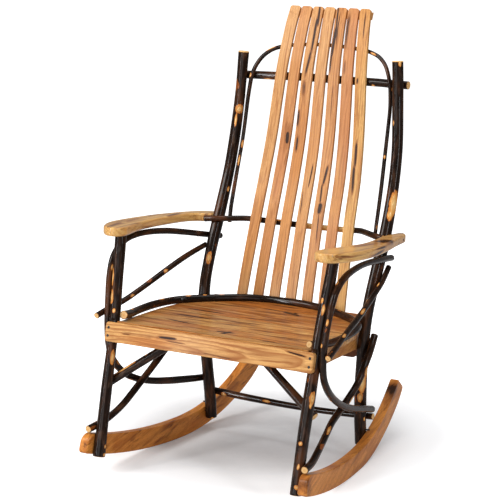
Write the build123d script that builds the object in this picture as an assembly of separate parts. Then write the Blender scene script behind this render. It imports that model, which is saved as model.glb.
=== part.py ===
"""Rustic rocking chair of bark-on hickory poles with flat hickory slats, arms and rockers.

Millimetres, +Z up, the sitter faces -Y. Layout coordinates have y = 0 at the front feet and
z = 0 on the floor; every piece is moved by -MID_DEPTH in y before it is written.
"""
import math
import os

from build123d import *

# ---- driving dimensions -------------------------------------------------------------------
MID_DEPTH = 351.8            # layout y that becomes y = 0 in the written pieces
LEG_D, POST_D = 28.0, 30.0   # front legs, bent rear posts
HOOP_D = 17.5                # C-shaped side hoops
UPPER_D, LOWER_D = 15.0, 18.0    # upper and lower side braces
BRACE_D = 22.0               # diagonal front braces
STRETCHER_D, TOP_RAIL_D, LUMBAR_D = 17.5, 22.0, 16.0
ARCH_D, SEAT_HOOP_D = 10.6, 18.5
GAP = 0.3                    # daylight left between touching poles

ROCKER_T, ROCKER_H = 25.0, 53.0
ROCKER_FRONT, ROCKER_REAR, ROCKER_REAR_TOP = -31.0, 714.0, 702.0
CONTACT_Y = 364.5            # rocker touches the floor here, below the centre of gravity
R_FRONT, R_REAR = 1290.0, 560.0
TOE_IN = 0.1223              # rockers and legs close up towards the back, mm per mm
ROCKER_INNER = 298.8         # x of the inner rocker face at y = 0

APRON_HALF, APRON_H, APRON_T = 297.5, 50.0, 16.0
APRON_Y, APRON_Z, APRON_LEAN = 57.0, 365.0, 0.27
APRON_SCREW_INSET, APRON_SCREW_RISE = 9.5, 10.0
SLAT_T, SEAT_T, RAIL_T = 9.0, 10.0, 18.0
N_BACK, N_SEAT = 7, 7
BACK_TOP = 1145.0
ARM_T, ARM_TOP, ARM_SLOPE = 23.0, 634.0, 0.102
TENON_D, TENON_H = 16.0, 13.0
ARM_SCREW_Y, ARM_SCREW_Z = 549.0, 572.0
SCREW_D, SCREW_HEAD_D = 4.0, 7.0
FIT = 0.05                   # radial clearance around screws

# Pole centrelines of the right-hand side (x, y, z); the left-hand side mirrors them.
LEG = [(284, -1, 49), (284, 12, 100), (285, 38, 200), (288, 66, 300), (291, 94, 400),
       (297, 121, 500), (305, 150, 612)]
POST = [(229, 467, 31), (229, 463, 100), (233, 453, 200), (240, 450, 300), (247, 461, 400),
        (250, 507, 500), (251, 561, 600), (248, 602, 700), (244, 628, 800), (237, 642, 900),
        (230, 652, 1021)]

# Poles on the outside of the frame: (y, z, distance outside the leg-to-post surface).
HOOP_OFF = (LEG_D + HOOP_D) / 2 + GAP
HOOP_OFF_REAR = (POST_D + HOOP_D) / 2 + GAP
SIDE_HOOP = {
    "r": [(549, 521, HOOP_OFF_REAR), (464, 535, 25.2), (375, 548, 25), (300, 555, 24.6),
          (235, 557, 24.6), (187, 555, 24.6), (147, 545, 24.6), (118, 526, 24.6),
          (101, 496, 24.6), (92, 462, HOOP_OFF), (81, 428, HOOP_OFF), (75, 388, HOOP_OFF),
          (77, 350, HOOP_OFF), (90, 316, HOOP_OFF), (117, 284, 24.6), (158, 252, 24.6),
          (207, 222, 24.8), (262, 197, 25), (330, 172, 25.2), (405, 149, HOOP_OFF_REAR),
          (485, 124, HOOP_OFF_REAR)],
    "l": [(585, 515.5, HOOP_OFF_REAR), (520, 531, HOOP_OFF_REAR), (443, 550, 25),
          (365, 568, 24.8), (305, 577, 24.6), (250, 580.5, 24.6), (202, 577, 24.6),
          (162, 562, 24.6), (134, 534, 24.6), (115, 487, 24.6), (101, 432, HOOP_OFF),
          (91, 383, HOOP_OFF), (88, 331, HOOP_OFF), (98, 287, 24.6), (118, 257, 24.6),
          (148, 228, 24.8), (203, 200, 25), (263, 181, 25), (335, 164, 25.2),
          (427, 147, HOOP_OFF_REAR), (482, 139, HOOP_OFF_REAR)],
}
UPPER_OFF = HOOP_OFF + (HOOP_D + UPPER_D) / 2 + GAP
UPPER_OFF_REAR = (POST_D + UPPER_D) / 2 + GAP
UPPER_BRACE = {
    "r": [(66, 379, UPPER_OFF + 0.3), (120, 392, 40.8), (190, 408, 37), (300, 425, 31),
          (400, 448, 27), (480, 468, 24), (536, 500, UPPER_OFF_REAR)],
    "l": [(72, 396, UPPER_OFF + 1), (120, 405, 41.5), (180, 415, 37.5), (260, 438, 33),
          (350, 465, 29), (430, 488, 25), (516, 504, UPPER_OFF_REAR)],
}
LOWER_OFF = (LEG_D + LOWER_D) / 2 + GAP
LOWER_OFF_REAR = (POST_D + LOWER_D) / 2 + GAP
LOWER_BRACE = {
    "r": [(-8, 119, LOWER_OFF + 0.4), (42, 119.5, 23.2), (80, 123.5, 18), (125, 134, 13),
          (172, 149, 9), (214, 166, 6), (262, 177, 5.5), (310, 187, 6), (345, 199, 8),
          (378, 216, 12), (398, 240, 17.3), (411, 268, 22.3), (431, 290, LOWER_OFF_REAR + 0.1),
          (450, 312, LOWER_OFF_REAR + 0.2), (465, 334, LOWER_OFF_REAR + 0.2)],
    "l": [(-8, 119, LOWER_OFF + 0.4), (38, 123, 23.2), (62, 131, 18), (92, 146, 11),
          (118, 162, 6.5), (147, 180, 5.5), (178, 198, 5.5), (212, 217, 5.5), (258, 242, 7),
          (290, 259, 10), (360, 284, 18), (425, 305, LOWER_OFF_REAR), (462, 332, LOWER_OFF_REAR)],
}

FRONT_BRACE = [(296, 71.6, 226.6), (104, 111.2, 361)]
STRETCHER = [(-251, 486.4, 103), (-120, 487.8, 95), (0, 487.8, 94), (130, 487.8, 96),
             (255, 486.2, 104)]
TOP_RAIL = [(-249, 671.8, 954), (-150, 678.8, 955.5), (0, 680, 957), (150, 678.8, 956.5),
            (254, 671.6, 956)]
LUMBAR = [(-279, 519.6, 574), (-258, 520.9, 577), (-238, 524.2, 578), (-214, 540, 578),
          (-190, 558, 578), (-168, 572.5, 577), (-120, 576, 575), (0, 578.5, 572),
          (120, 576, 575), (168, 572.5, 578), (190, 558, 578), (214, 540, 578),
          (238, 524.2, 578), (258, 521, 577)]
ARCH_SIDE = [(219, 553.2, 564), (219, 559, 600), (218, 592, 700), (214, 624, 800),
             (213, 648, 900), (208, 656.3, 952), (201, 662, 978), (186, 674, 1006),
             (162, 685, 1026), (125, 692.5, 1038)]
SEAT_HOOP = [(-268, 98.5, 401), (-283, 150, 395), (-296, 205, 390), (-300, 270, 387.5),
             (-293, 325, 386), (-275, 368, 385.5), (-246, 396, 385.5), (-212, 422, 386),
             (-165, 449, 387), (-120, 470, 388), (-60, 482, 388.5), (0, 484, 388.5),
             (60, 482, 388.5), (120, 470, 388), (165, 452, 387), (205, 430, 386),
             (235, 408, 385.5), (262, 378, 385), (276, 335, 384.5), (282, 290, 385),
             (283, 215, 387), (279, 150, 391.5), (267.3, 93.8, 398.5)]


SEAT_TOP = [(76, 389), (110, 382), (180, 375), (260, 372), (350, 371), (430, 373), (486, 377)]
SEAT_HALF = [(78, 273), (100, 276.5), (135, 285), (192, 289), (250, 289), (308, 284), (366, 269),
             (424, 242), (430, 229.5), (486, 225)]
CREST = 900.0                # from here up the slats sweep back


def crest_z(share):
    """Height a share of the way from the crest to the slat tips."""
    return CREST + share * (BACK_TOP - CREST)


BACK_FRONT = [(483.6, 288), (484.6, 340), (494, 386), (511, 445), (528, 500), (560, 600),
              (598, 700), (627, 800), (645, CREST), (664, crest_z(0.41)), (696, crest_z(0.82)),
              (716, BACK_TOP)]
BACK_PITCH = [(288, 50.6), (386, 49.4), (600, 46.4), (700, 45.4), (800, 43.4), (CREST, 41.4),
              (crest_z(0.41), 39.0), (crest_z(0.82), 36.2), (crest_z(1.02), 34.6)]  # slat spacing
SLAT_W_TOP, SLAT_W_FOOT = 30.5, 27.8
ARM_PLAN = {
    "r": [(267.4, 590), (267, 540), (268, 500), (283, 420), (294, 350), (297, 300), (292, 255),
          (287, 212), (280, 170), (275, 142), (276, 112), (284, 84), (301, 67), (322, 66),
          (341, 80), (355, 112), (364, 160), (366, 220), (357, 300), (337, 400), (318, 476),
          (305, 540), (297, 580), (282, 601)],
    "l": [(267.4, 590), (267, 549), (280, 537), (299, 526), (312, 500), (315, 453), (313, 397),
          (310, 340), (302, 258), (287, 200), (268, 141), (257, 103), (261, 77), (278, 63),
          (301, 70), (325, 98), (345, 138), (358, 181), (364, 241), (366.5, 296), (366.5, 395),
          (362, 437), (352, 505), (341, 551), (326, 583), (301, 604), (281, 604)],
}


# ---- helpers ------------------------------------------------------------------------------
def interp(table, t, key, value):
    """Linear interpolation of column `value` against column `key`."""
    rows = sorted(table, key=lambda row: row[key])
    for a, b in zip(rows, rows[1:]):
        if t <= b[key] or b is rows[-1]:
            return a[value] + (b[value] - a[value]) * (t - a[key]) / (b[key] - a[key])


def side_x(y, z):
    """x of the surface ruled between the leg and post centrelines at height z."""
    leg_x, leg_y = interp(LEG, z, 2, 0), interp(LEG, z, 2, 1)
    post_x, post_y = interp(POST, z, 2, 0), interp(POST, z, 2, 1)
    return leg_x + (post_x - leg_x) * (y - leg_y) / (post_y - leg_y)


def smooth(points, close=False):
    """Straight runs joined by the largest tangent arcs that fit, through points off the line."""
    pts = [Vector(*p) for p in points]
    kept = [pts[0]]
    for a, b in zip(pts[1:], pts[2:]):
        if (a - kept[-1]).get_angle(b - a) > 0.6:
            kept.append(a)
    kept.append(pts[-1])
    if len(kept) == 2:
        return Line(*kept)
    ring = [kept[-1]] + kept + [kept[0]] if close else kept
    radii = []
    for a, b, c in zip(ring, ring[1:], ring[2:]):
        run = min((b - a).length, (c - b).length)
        radii.append(0.45 * run / math.tan(math.radians((b - a).get_angle(c - b)) / 2))
    return FilletPolyline(*kept, radius=radii, close=close)


def pole(points, diameter, end=1.2):
    """Round pole along a smooth path, its cut ends eased by `end` (0 leaves them sawn)."""
    path = smooth(points)
    start = Plane(origin=path @ 0, z_dir=path % 0)
    rod = sweep(start * Circle(diameter / 2), path=path)
    return chamfer(rod.faces().filter_by(GeomType.PLANE).edges(), end) if end else rod


def side_points(rows, sign):
    return [(sign * (side_x(y, z) + off), y, z) for y, z, off in rows]


def prism_yz(outline, half=400.0):
    """Solid from a closed outline in the YZ plane, centred on x = 0."""
    return extrude(Plane.YZ * outline, half, both=True)


def plan_prism(points, low=-50.0, high=1300.0):
    return extrude(Pos(0, 0, low) * make_face(Polyline(*points, close=True)), high - low)


def offset_curve(rows, distance):
    """Points moved square to the polyline, to its left when distance is positive."""
    moved = []
    for i, (y, z) in enumerate(rows):
        (y0, z0), (y1, z1) = rows[max(i - 1, 0)], rows[min(i + 1, len(rows) - 1)]
        length = math.hypot(y1 - y0, z1 - z0)
        moved.append((y - (z1 - z0) / length * distance, z + (y1 - y0) / length * distance))
    return moved


def band(rows, thickness):
    """Closed outline between a smooth curve and the same curve moved by thickness."""
    near, far = smooth(rows), smooth(offset_curve(rows, thickness))
    return make_face([near, far, Line(near @ 0, far @ 0), Line(near @ 1, far @ 1)])


def mirrored(part):
    return mirror(part, about=Plane.YZ)


def fastener(point, direction, length, shank, head, head_h, proud):
    """Shank with a flat head standing `proud` of the point it is driven in at."""
    seat = Plane(origin=point, z_dir=direction)
    body = seat * (Pos(0, 0, head_h - proud) * extrude(Circle(shank / 2), length))
    return body + seat * (Pos(0, 0, -proud) * extrude(Circle(head / 2), head_h))


nodes = {}
fasteners = {}


def fasten(group, pieces, point, direction, length):
    """Add one screw to a group and drill its clearance through the named pieces."""
    item = fastener(point, direction, length, SCREW_D, SCREW_HEAD_D, 2.2, 0.2)
    hole = fastener(point, direction, length + FIT, SCREW_D + 2 * FIT, SCREW_HEAD_D + 2 * FIT,
                    2.2 + FIT, 0.2)
    for piece in pieces:
        nodes[piece] = nodes[piece] - hole
    fasteners.setdefault(group, []).append(item)


# ---- rockers ------------------------------------------------------------------------------
def arc_through(y0, y1, radius, lift):
    """Arc of the rocker profile between two y values, `lift` above the bottom edge."""
    r = radius - lift
    pts = [(CONTACT_Y + (y - CONTACT_Y) * r / radius,
            radius - math.sqrt(r ** 2 - ((y - CONTACT_Y) * r / radius) ** 2))
           for y in (y0, (y0 + y1) / 2, y1)]
    return ThreePointArc(*pts)


bottom_front = arc_through(ROCKER_FRONT, CONTACT_Y, R_FRONT, 0)
bottom_rear = arc_through(CONTACT_Y, ROCKER_REAR, R_REAR, 0)
top_front = arc_through(ROCKER_FRONT, CONTACT_Y, R_FRONT, ROCKER_H)
top_rear = arc_through(CONTACT_Y, ROCKER_REAR_TOP, R_REAR, ROCKER_H)
profile = make_face([bottom_front, bottom_rear, Line(bottom_rear @ 1, top_rear @ 1), top_rear,
                     top_front, Line(top_front @ 0, bottom_front @ 0)])
ends = profile.vertices().sort_by(Axis.X)
profile = fillet([ends[0], ends[-1]], 9)
profile = fillet([v for v in profile.vertices()
                  if Vector(v.X - (top_front @ 0).X, v.Y - (top_front @ 0).Y).length < 1], 26)
profile = fillet([v for v in profile.vertices()
                  if Vector(v.X - (top_rear @ 1).X, v.Y - (top_rear @ 1).Y).length < 1], 10)


def rocker_x(y, out=0.0):
    return ROCKER_INNER + out - TOE_IN * y


def rocker_slab(inner, outer, y0=-80.0, y1=800.0, low=-50.0, high=1300.0):
    """Upright slab parallel to the rocker faces."""
    return plan_prism([(rocker_x(y0, inner), y0), (rocker_x(y0, outer), y0),
                       (rocker_x(y1, outer), y1), (rocker_x(y1, inner), y1)], low, high)


rocker = prism_yz(profile) & rocker_slab(0, ROCKER_T * math.hypot(1, TOE_IN))
rocker = chamfer([e for e in rocker.edges() if e.length > 60], 2.5)
nodes["rocker_r"] = rocker
nodes["rocker_l"] = mirrored(rocker)

# ---- front legs and rear posts, flatted where the rockers are screwed on ----------------------
arm_plane = Plane(origin=(0, 62, ARM_TOP), x_dir=(1, 0, 0), z_dir=(0, ARM_SLOPE, 1))
flat_front = rocker_slab(-0.1, 40, -60, 80, 0, 116)
flat_rear = rocker_slab(-0.1, 40, 400, 540, 0, 108)
above_arm = arm_plane * Pos(0, 300, 100 - ARM_T - 0.1) * Box(900, 900, 200)
leg_top = Vector(interp(LEG, 602, 2, 0), interp(LEG, 602, 2, 1), 602)
leg_axis = (Vector(*LEG[-1]) - Vector(*LEG[-2])).normalized()
tenon = Plane(origin=leg_top - leg_axis * 6, z_dir=leg_axis) * extrude(Circle(TENON_D / 2),
                                                                      TENON_H + 6)
leg = pole(LEG, LEG_D) - flat_front - above_arm + tenon
nodes["front_leg_r"], nodes["front_leg_l"] = leg, mirrored(leg)
post = pole(POST, POST_D) - flat_rear
nodes["rear_post_r"], nodes["rear_post_l"] = post, mirrored(post)

# ---- armrests -----------------------------------------------------------------------------
arm_socket = Plane(origin=leg_top - leg_axis * 6, z_dir=leg_axis) * extrude(
    Circle(TENON_D / 2 + 0.1), TENON_H + 6.5)
for side in ("r", "l"):
    plan = [(x, (y - 62) * math.hypot(1, ARM_SLOPE)) for x, y in ARM_PLAN[side]]
    arm = arm_plane * extrude(make_face(smooth(plan, close=True)), -ARM_T)
    arm = fillet(arm.faces().sort_by(SortBy.AREA)[-2:].edges(), 6) - arm_socket
    nodes[f"armrest_{side}"] = arm if side == "r" else mirrored(arm)

# ---- hoops and braces outside the legs --------------------------------------------------------
for side, sign in (("r", 1), ("l", -1)):
    nodes[f"side_hoop_{side}"] = pole(side_points(SIDE_HOOP[side], sign), HOOP_D)
    nodes[f"upper_brace_{side}"] = pole(side_points(UPPER_BRACE[side], sign), UPPER_D)
    nodes[f"lower_brace_{side}"] = pole(side_points(LOWER_BRACE[side], sign), LOWER_D)
brace = pole(FRONT_BRACE, BRACE_D)
nodes["front_brace_r"], nodes["front_brace_l"] = brace, mirrored(brace)

# ---- cross poles and the back arch --------------------------------------------------------
nodes["rear_stretcher"] = pole(STRETCHER, STRETCHER_D)
nodes["top_back_rail"] = pole(TOP_RAIL, TOP_RAIL_D)
nodes["lumbar_rail"] = pole(LUMBAR, LUMBAR_D)
arch = ARCH_SIDE + [(60, 693.6, 1044), (0, 693.8, 1046), (-60, 693.6, 1044)]
nodes["back_arch"] = pole(arch + [(-x, y, z) for x, y, z in reversed(ARCH_SIDE)], ARCH_D)
nodes["seat_hoop"] = pole(SEAT_HOOP, SEAT_HOOP_D)

# ---- seat frame -----------------------------------------------------------------------------
apron_plane = Plane(origin=(0, APRON_Y, APRON_Z), x_dir=(1, 0, 0), z_dir=(0, -1, APRON_LEAN))
apron = apron_plane * extrude(RectangleRounded(2 * APRON_HALF, APRON_H, 8), -APRON_T)
apron = chamfer([e for e in apron.edges() if e.length > 400], 2)
nodes["seat_front_board"] = apron
apron_pocket = apron_plane * Pos(0, 0, 1) * extrude(
    Rectangle(2 * APRON_HALF + 8, APRON_H + 1), -APRON_T - 1.1)
for side in ("r", "l"):
    nodes[f"front_leg_{side}"] = nodes[f"front_leg_{side}"] - apron_pocket

under = offset_curve(SEAT_TOP, -SEAT_T - 0.1)
rail_top = smooth(under)
side_profile = make_face([rail_top, Line(rail_top @ 1, ((rail_top @ 1).X, 290)),
                          Line(((rail_top @ 1).X, 290), (66.5, 335)),
                          Line((66.5, 335), rail_top @ 0)])


def rail_x(y, inset=0.0):
    return 273.9 - inset - 0.1368 * (y - 81)


rail_plan = [(rail_x(60), 60), (rail_x(464.8), 464.8), (rail_x(464.8, RAIL_T), 464.8),
             (rail_x(60, RAIL_T), 60)]
side_rail = prism_yz(side_profile) & plan_prism(rail_plan) - apron_pocket
nodes["side_seat_rail_r"], nodes["side_seat_rail_l"] = side_rail, mirrored(side_rail)

REAR_RAIL_Y = 465.0
rear_rail = extrude(Plane(origin=(0, REAR_RAIL_Y, 0), x_dir=(1, 0, 0), z_dir=(0, -1, 0))
                    * Pos(0, 317) * RectangleRounded(2 * 223, 108, 26), -RAIL_T)
rear_rail = rear_rail & prism_yz(make_face([
    rail_top, Line(rail_top @ 1, ((rail_top @ 1).X, 200)),
    Line(((rail_top @ 1).X, 200), ((rail_top @ 0).X, 200)),
    Line(((rail_top @ 0).X, 200), rail_top @ 0)]))
nodes["rear_seat_rail"] = rear_rail

seat_band = prism_yz(band(SEAT_TOP, -SEAT_T)) - apron_pocket
SEAT_Y0, SEAT_Y1, SEAT_GAP = 77.0, 485.5, 2.5
step = (SEAT_Y1 - SEAT_Y0 + SEAT_GAP) / N_SEAT
for i in range(N_SEAT):
    y0 = SEAT_Y0 + i * step
    y1 = y0 + step - SEAT_GAP
    x0, x1 = interp(SEAT_HALF, y0, 0, 1), interp(SEAT_HALF, y1, 0, 1)
    board = seat_band & plan_prism([(-x0, y0), (x0, y0), (x1, y1), (-x1, y1)])
    nodes[f"seat_slat_{i + 1}"] = board

# ---- back slats -----------------------------------------------------------------------------
back_band = prism_yz(band(BACK_FRONT, -SLAT_T), 300)
for i in range(N_BACK):
    k = i - (N_BACK - 1) / 2
    heights = [280] + [z for z, _ in BACK_PITCH[1:]] + [BACK_TOP + 7]
    left, right = [], []
    for z in heights:
        centre = k * interp(BACK_PITCH, z, 0, 1)
        half = (SLAT_W_FOOT + (SLAT_W_TOP - SLAT_W_FOOT) * (z - 288) / (BACK_TOP - 288)) / 2
        left.append((centre - half, z))
        right.append((centre + half, z))
    front = Plane(origin=(0, 0, 0), x_dir=(1, 0, 0), z_dir=(0, -1, 0))
    face = make_face(Polyline(*left, *reversed(right), close=True))
    slat = back_band & extrude(front * face, -900)
    tips = [e for e in slat.edges() if e.length < SLAT_T + 1 and e.center().Z > BACK_TOP - 12]
    nodes[f"back_slat_{i + 1}"] = fillet(tips, 7)

# ---- batten behind the slat tops ------------------------------------------------------------
batten_line = [row for row in BACK_FRONT if row[1] > CREST]
batten = prism_yz(band(offset_curve(batten_line, -SLAT_T - 0.1), -10), 121)
batten = batten & Pos(0, 700, BACK_TOP - 20) * Box(300, 200, 19)
nodes["top_batten"] = batten

# ---- fasteners --------------------------------------------------------------------------------
normal = Vector(1, TOE_IN, 0).normalized()
for side, sign in (("r", 1), ("l", -1)):
    out = Vector(sign * normal.X, normal.Y, 0)
    for rise in (APRON_SCREW_RISE, -APRON_SCREW_RISE):
        place = (sign * (APRON_HALF - APRON_SCREW_INSET), APRON_Y + APRON_LEAN * rise,
                 APRON_Z + rise)
        fasten("apron_screws", ["seat_front_board", f"front_leg_{side}"], place,
               (0, 1, -APRON_LEAN), 32)
    for table, piece, dia, zs in ((LEG, "front_leg", LEG_D, (62, 86)),
                                  (POST, "rear_post", POST_D, (44, 72))):
        for z in zs:
            axis = Vector(sign * interp(table, z, 2, 0), interp(table, z, 2, 1), z)
            fasten("rocker_screws", [f"{piece}_{side}", f"rocker_{side}"],
                   axis - out * (dia / 2), out, 38)
    outer = interp(ARM_PLAN[side][-6:], ARM_SCREW_Y, 1, 0)
    fasten("arm_screws", [f"armrest_{side}", f"rear_post_{side}"],
           (sign * outer, ARM_SCREW_Y, ARM_SCREW_Z), (-sign, 0, 0), outer - POST[5][0] - 7)

for group, items in fasteners.items():
    nodes[group] = Compound(children=items)

# ---- output -----------------------------------------------------------------------------------
os.makedirs("parts", exist_ok=True)
for name, shape in nodes.items():
    placed = Pos(0, -MID_DEPTH, 0) * shape
    placed.label = name
    export_step(placed, f"parts/{name}.step")
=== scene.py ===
import math
import random

import bpy
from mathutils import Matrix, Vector


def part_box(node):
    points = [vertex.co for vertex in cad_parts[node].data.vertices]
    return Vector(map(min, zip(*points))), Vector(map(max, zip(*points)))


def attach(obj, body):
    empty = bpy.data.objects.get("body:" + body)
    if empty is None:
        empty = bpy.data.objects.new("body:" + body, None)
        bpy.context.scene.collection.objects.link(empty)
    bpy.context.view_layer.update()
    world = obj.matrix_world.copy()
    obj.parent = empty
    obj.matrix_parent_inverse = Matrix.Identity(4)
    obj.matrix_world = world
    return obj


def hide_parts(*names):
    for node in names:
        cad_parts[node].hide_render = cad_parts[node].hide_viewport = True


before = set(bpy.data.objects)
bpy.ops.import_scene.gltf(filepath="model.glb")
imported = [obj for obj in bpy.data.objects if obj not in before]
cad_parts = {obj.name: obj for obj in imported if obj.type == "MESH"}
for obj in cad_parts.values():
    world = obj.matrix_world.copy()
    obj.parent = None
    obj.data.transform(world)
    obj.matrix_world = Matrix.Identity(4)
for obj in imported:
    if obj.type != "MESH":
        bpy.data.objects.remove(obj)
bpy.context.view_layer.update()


MM = 0.001
BODY = "root"
MID_DEPTH = 351.8             # layout y that is y = 0 in the row frame

# ---- camera, from the fit of the chair's pole ends ----------------------------------------------
PHOTO_SIZE = 500              # pixels, square frame
FOCAL_PX = 1800.0
SENSOR = 36.0
TARGET = Vector((0, 279 - MID_DEPTH, 565)) * MM
EYE = Vector((2195, -3602 - MID_DEPTH, 1578)) * MM

# ---- pole centrelines in layout millimetres: y = 0 at the front feet, z = 0 on the floor --------
GAP = 0.3                     # between poles that cross
LEG_D, POST_D, HOOP_D = 28.0, 30.0, 17.5
UPPER_D, LOWER_D, BRACE_D = 15.0, 18.0, 22.0
STRETCHER_D, TOP_RAIL_D, LUMBAR_D = 17.5, 22.0, 16.0
ARCH_D, SEAT_HOOP_D = 10.6, 18.5
LEG = [(284, -1, 49), (284, 12, 100), (285, 38, 200), (288, 66, 300), (291, 94, 400),
       (297, 121, 500), (305, 150, 612)]
POST = [(229, 467, 31), (229, 463, 100), (233, 453, 200), (240, 450, 300), (247, 461, 400),
        (250, 507, 500), (251, 561, 600), (248, 602, 700), (244, 628, 800), (237, 642, 900),
        (230, 652, 1021)]
HOOP_OFF = (LEG_D + HOOP_D) / 2 + GAP
HOOP_OFF_REAR = (POST_D + HOOP_D) / 2 + GAP
SIDE_HOOP = {
    "r": [(549, 521, HOOP_OFF_REAR), (464, 535, 25.2), (375, 548, 25), (300, 555, 24.6),
          (235, 557, 24.6), (187, 555, 24.6), (147, 545, 24.6), (118, 526, 24.6),
          (101, 496, 24.6), (92, 462, HOOP_OFF), (81, 428, HOOP_OFF), (75, 388, HOOP_OFF),
          (77, 350, HOOP_OFF), (90, 316, HOOP_OFF), (117, 284, 24.6), (158, 252, 24.6),
          (207, 222, 24.8), (262, 197, 25), (330, 172, 25.2), (405, 149, HOOP_OFF_REAR),
          (485, 124, HOOP_OFF_REAR)],
    "l": [(585, 515.5, HOOP_OFF_REAR), (520, 531, HOOP_OFF_REAR), (443, 550, 25),
          (365, 568, 24.8), (305, 577, 24.6), (250, 580.5, 24.6), (202, 577, 24.6),
          (162, 562, 24.6), (134, 534, 24.6), (115, 487, 24.6), (101, 432, HOOP_OFF),
          (91, 383, HOOP_OFF), (88, 331, HOOP_OFF), (98, 287, 24.6), (118, 257, 24.6),
          (148, 228, 24.8), (203, 200, 25), (263, 181, 25), (335, 164, 25.2),
          (427, 147, HOOP_OFF_REAR), (482, 139, HOOP_OFF_REAR)],
}
UPPER_OFF = HOOP_OFF + (HOOP_D + UPPER_D) / 2 + GAP
UPPER_OFF_REAR = (POST_D + UPPER_D) / 2 + GAP
UPPER_BRACE = {
    "r": [(66, 379, UPPER_OFF + 0.3), (120, 392, 40.8), (190, 408, 37), (300, 425, 31),
          (400, 448, 27), (480, 468, 24), (536, 500, UPPER_OFF_REAR)],
    "l": [(72, 396, UPPER_OFF + 1), (120, 405, 41.5), (180, 415, 37.5), (260, 438, 33),
          (350, 465, 29), (430, 488, 25), (516, 504, UPPER_OFF_REAR)],
}
LOWER_OFF = (LEG_D + LOWER_D) / 2 + GAP
LOWER_OFF_REAR = (POST_D + LOWER_D) / 2 + GAP
LOWER_BRACE = {
    "r": [(-8, 119, LOWER_OFF + 0.4), (42, 119.5, 23.2), (80, 123.5, 18), (125, 134, 13),
          (172, 149, 9), (214, 166, 6), (262, 177, 5.5), (310, 187, 6), (345, 199, 8),
          (378, 216, 12), (398, 240, 17.3), (411, 268, 22.3), (431, 290, LOWER_OFF_REAR + 0.1),
          (450, 312, LOWER_OFF_REAR + 0.2), (465, 334, LOWER_OFF_REAR + 0.2)],
    "l": [(-8, 119, LOWER_OFF + 0.4), (38, 123, 23.2), (62, 131, 18), (92, 146, 11),
          (118, 162, 6.5), (147, 180, 5.5), (178, 198, 5.5), (212, 217, 5.5), (258, 242, 7),
          (290, 259, 10), (360, 284, 18), (425, 305, LOWER_OFF_REAR), (462, 332, LOWER_OFF_REAR)],
}
FRONT_BRACE = [(296, 71.6, 226.6), (104, 111.2, 361)]
STRETCHER = [(-251, 486.4, 103), (-120, 487.8, 95), (0, 487.8, 94), (130, 487.8, 96),
             (255, 486.2, 104)]
TOP_RAIL = [(-249, 671.8, 954), (-150, 678.8, 955.5), (0, 680, 957), (150, 678.8, 956.5),
            (254, 671.6, 956)]
LUMBAR = [(-279, 519.6, 574), (-258, 520.9, 577), (-238, 524.2, 578), (-214, 540, 578),
          (-190, 558, 578), (-168, 572.5, 577), (-120, 576, 575), (0, 578.5, 572),
          (120, 576, 575), (168, 572.5, 578), (190, 558, 578), (214, 540, 578),
          (238, 524.2, 578), (258, 521, 577)]
ARCH_SIDE = [(219, 553.2, 564), (219, 559, 600), (218, 592, 700), (214, 624, 800),
             (213, 648, 900), (208, 656.3, 952), (201, 662, 978), (186, 674, 1006),
             (162, 685, 1026), (125, 692.5, 1038)]
ARCH_TOP = [(60, 693.6, 1044), (0, 693.8, 1046), (-60, 693.6, 1044)]
SEAT_HOOP = [(-268, 98.5, 401), (-283, 150, 395), (-296, 205, 390), (-300, 270, 387.5),
             (-293, 325, 386), (-275, 368, 385.5), (-246, 396, 385.5), (-212, 422, 386),
             (-165, 449, 387), (-120, 470, 388), (-60, 482, 388.5), (0, 484, 388.5),
             (60, 482, 388.5), (120, 470, 388), (165, 452, 387), (205, 430, 386),
             (235, 408, 385.5), (262, 378, 385), (276, 335, 384.5), (282, 290, 385),
             (283, 215, 387), (279, 150, 391.5), (267.3, 93.8, 398.5)]

# ---- board faces, layout millimetres ------------------------------------------------------------
ARM_T, ARM_TOP, ARM_SLOPE = 23.0, 634.0, 0.102
ARM_Y = 62                    # where the arm's top is ARM_TOP high
ARM_EDGE_X = {"r": 352, "l": -246}          # arm edges that face the camera
TOE_IN, ROCKER_INNER, ROCKER_T = 0.1223, 298.8, 25
APRON_Y, APRON_Z, APRON_LEAN, APRON_T = 57, 365, 0.27, 16      # front face at mid height
BACK_FRONT = [(483.6, 288), (484.6, 340), (494, 386), (511, 445), (528, 500), (560, 600),
              (598, 700), (627, 800), (645, 900), (664, 1000), (696, 1101), (716, 1145)]
SEAT_TOP = [(76, 389), (110, 382), (180, 375), (260, 372), (350, 371), (430, 373), (486, 377)]
BACK_START, SEAT_START = (0, 560, 600), (0, 250, 373)          # first guess, then SIGHT_STEPS
SIGHT_STEPS = 8               # to find where a sight line meets the curved back or seat
# Normals of the faces that carry knots and streaks.
APRON_FACE, ARM_FACE, ROCKER_FACE = (0, -1, APRON_LEAN), (0, ARM_SLOPE, 1), (1, TOE_IN, 0)
BACK_FACE, SEAT_FACE, EDGE_FACE = (0, -1, 0), (0, 0, 1), (1, 0, 0)
THROUGH, SHALLOW = 60.0, 11.0               # how far such a mark reaches into a board

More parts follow.
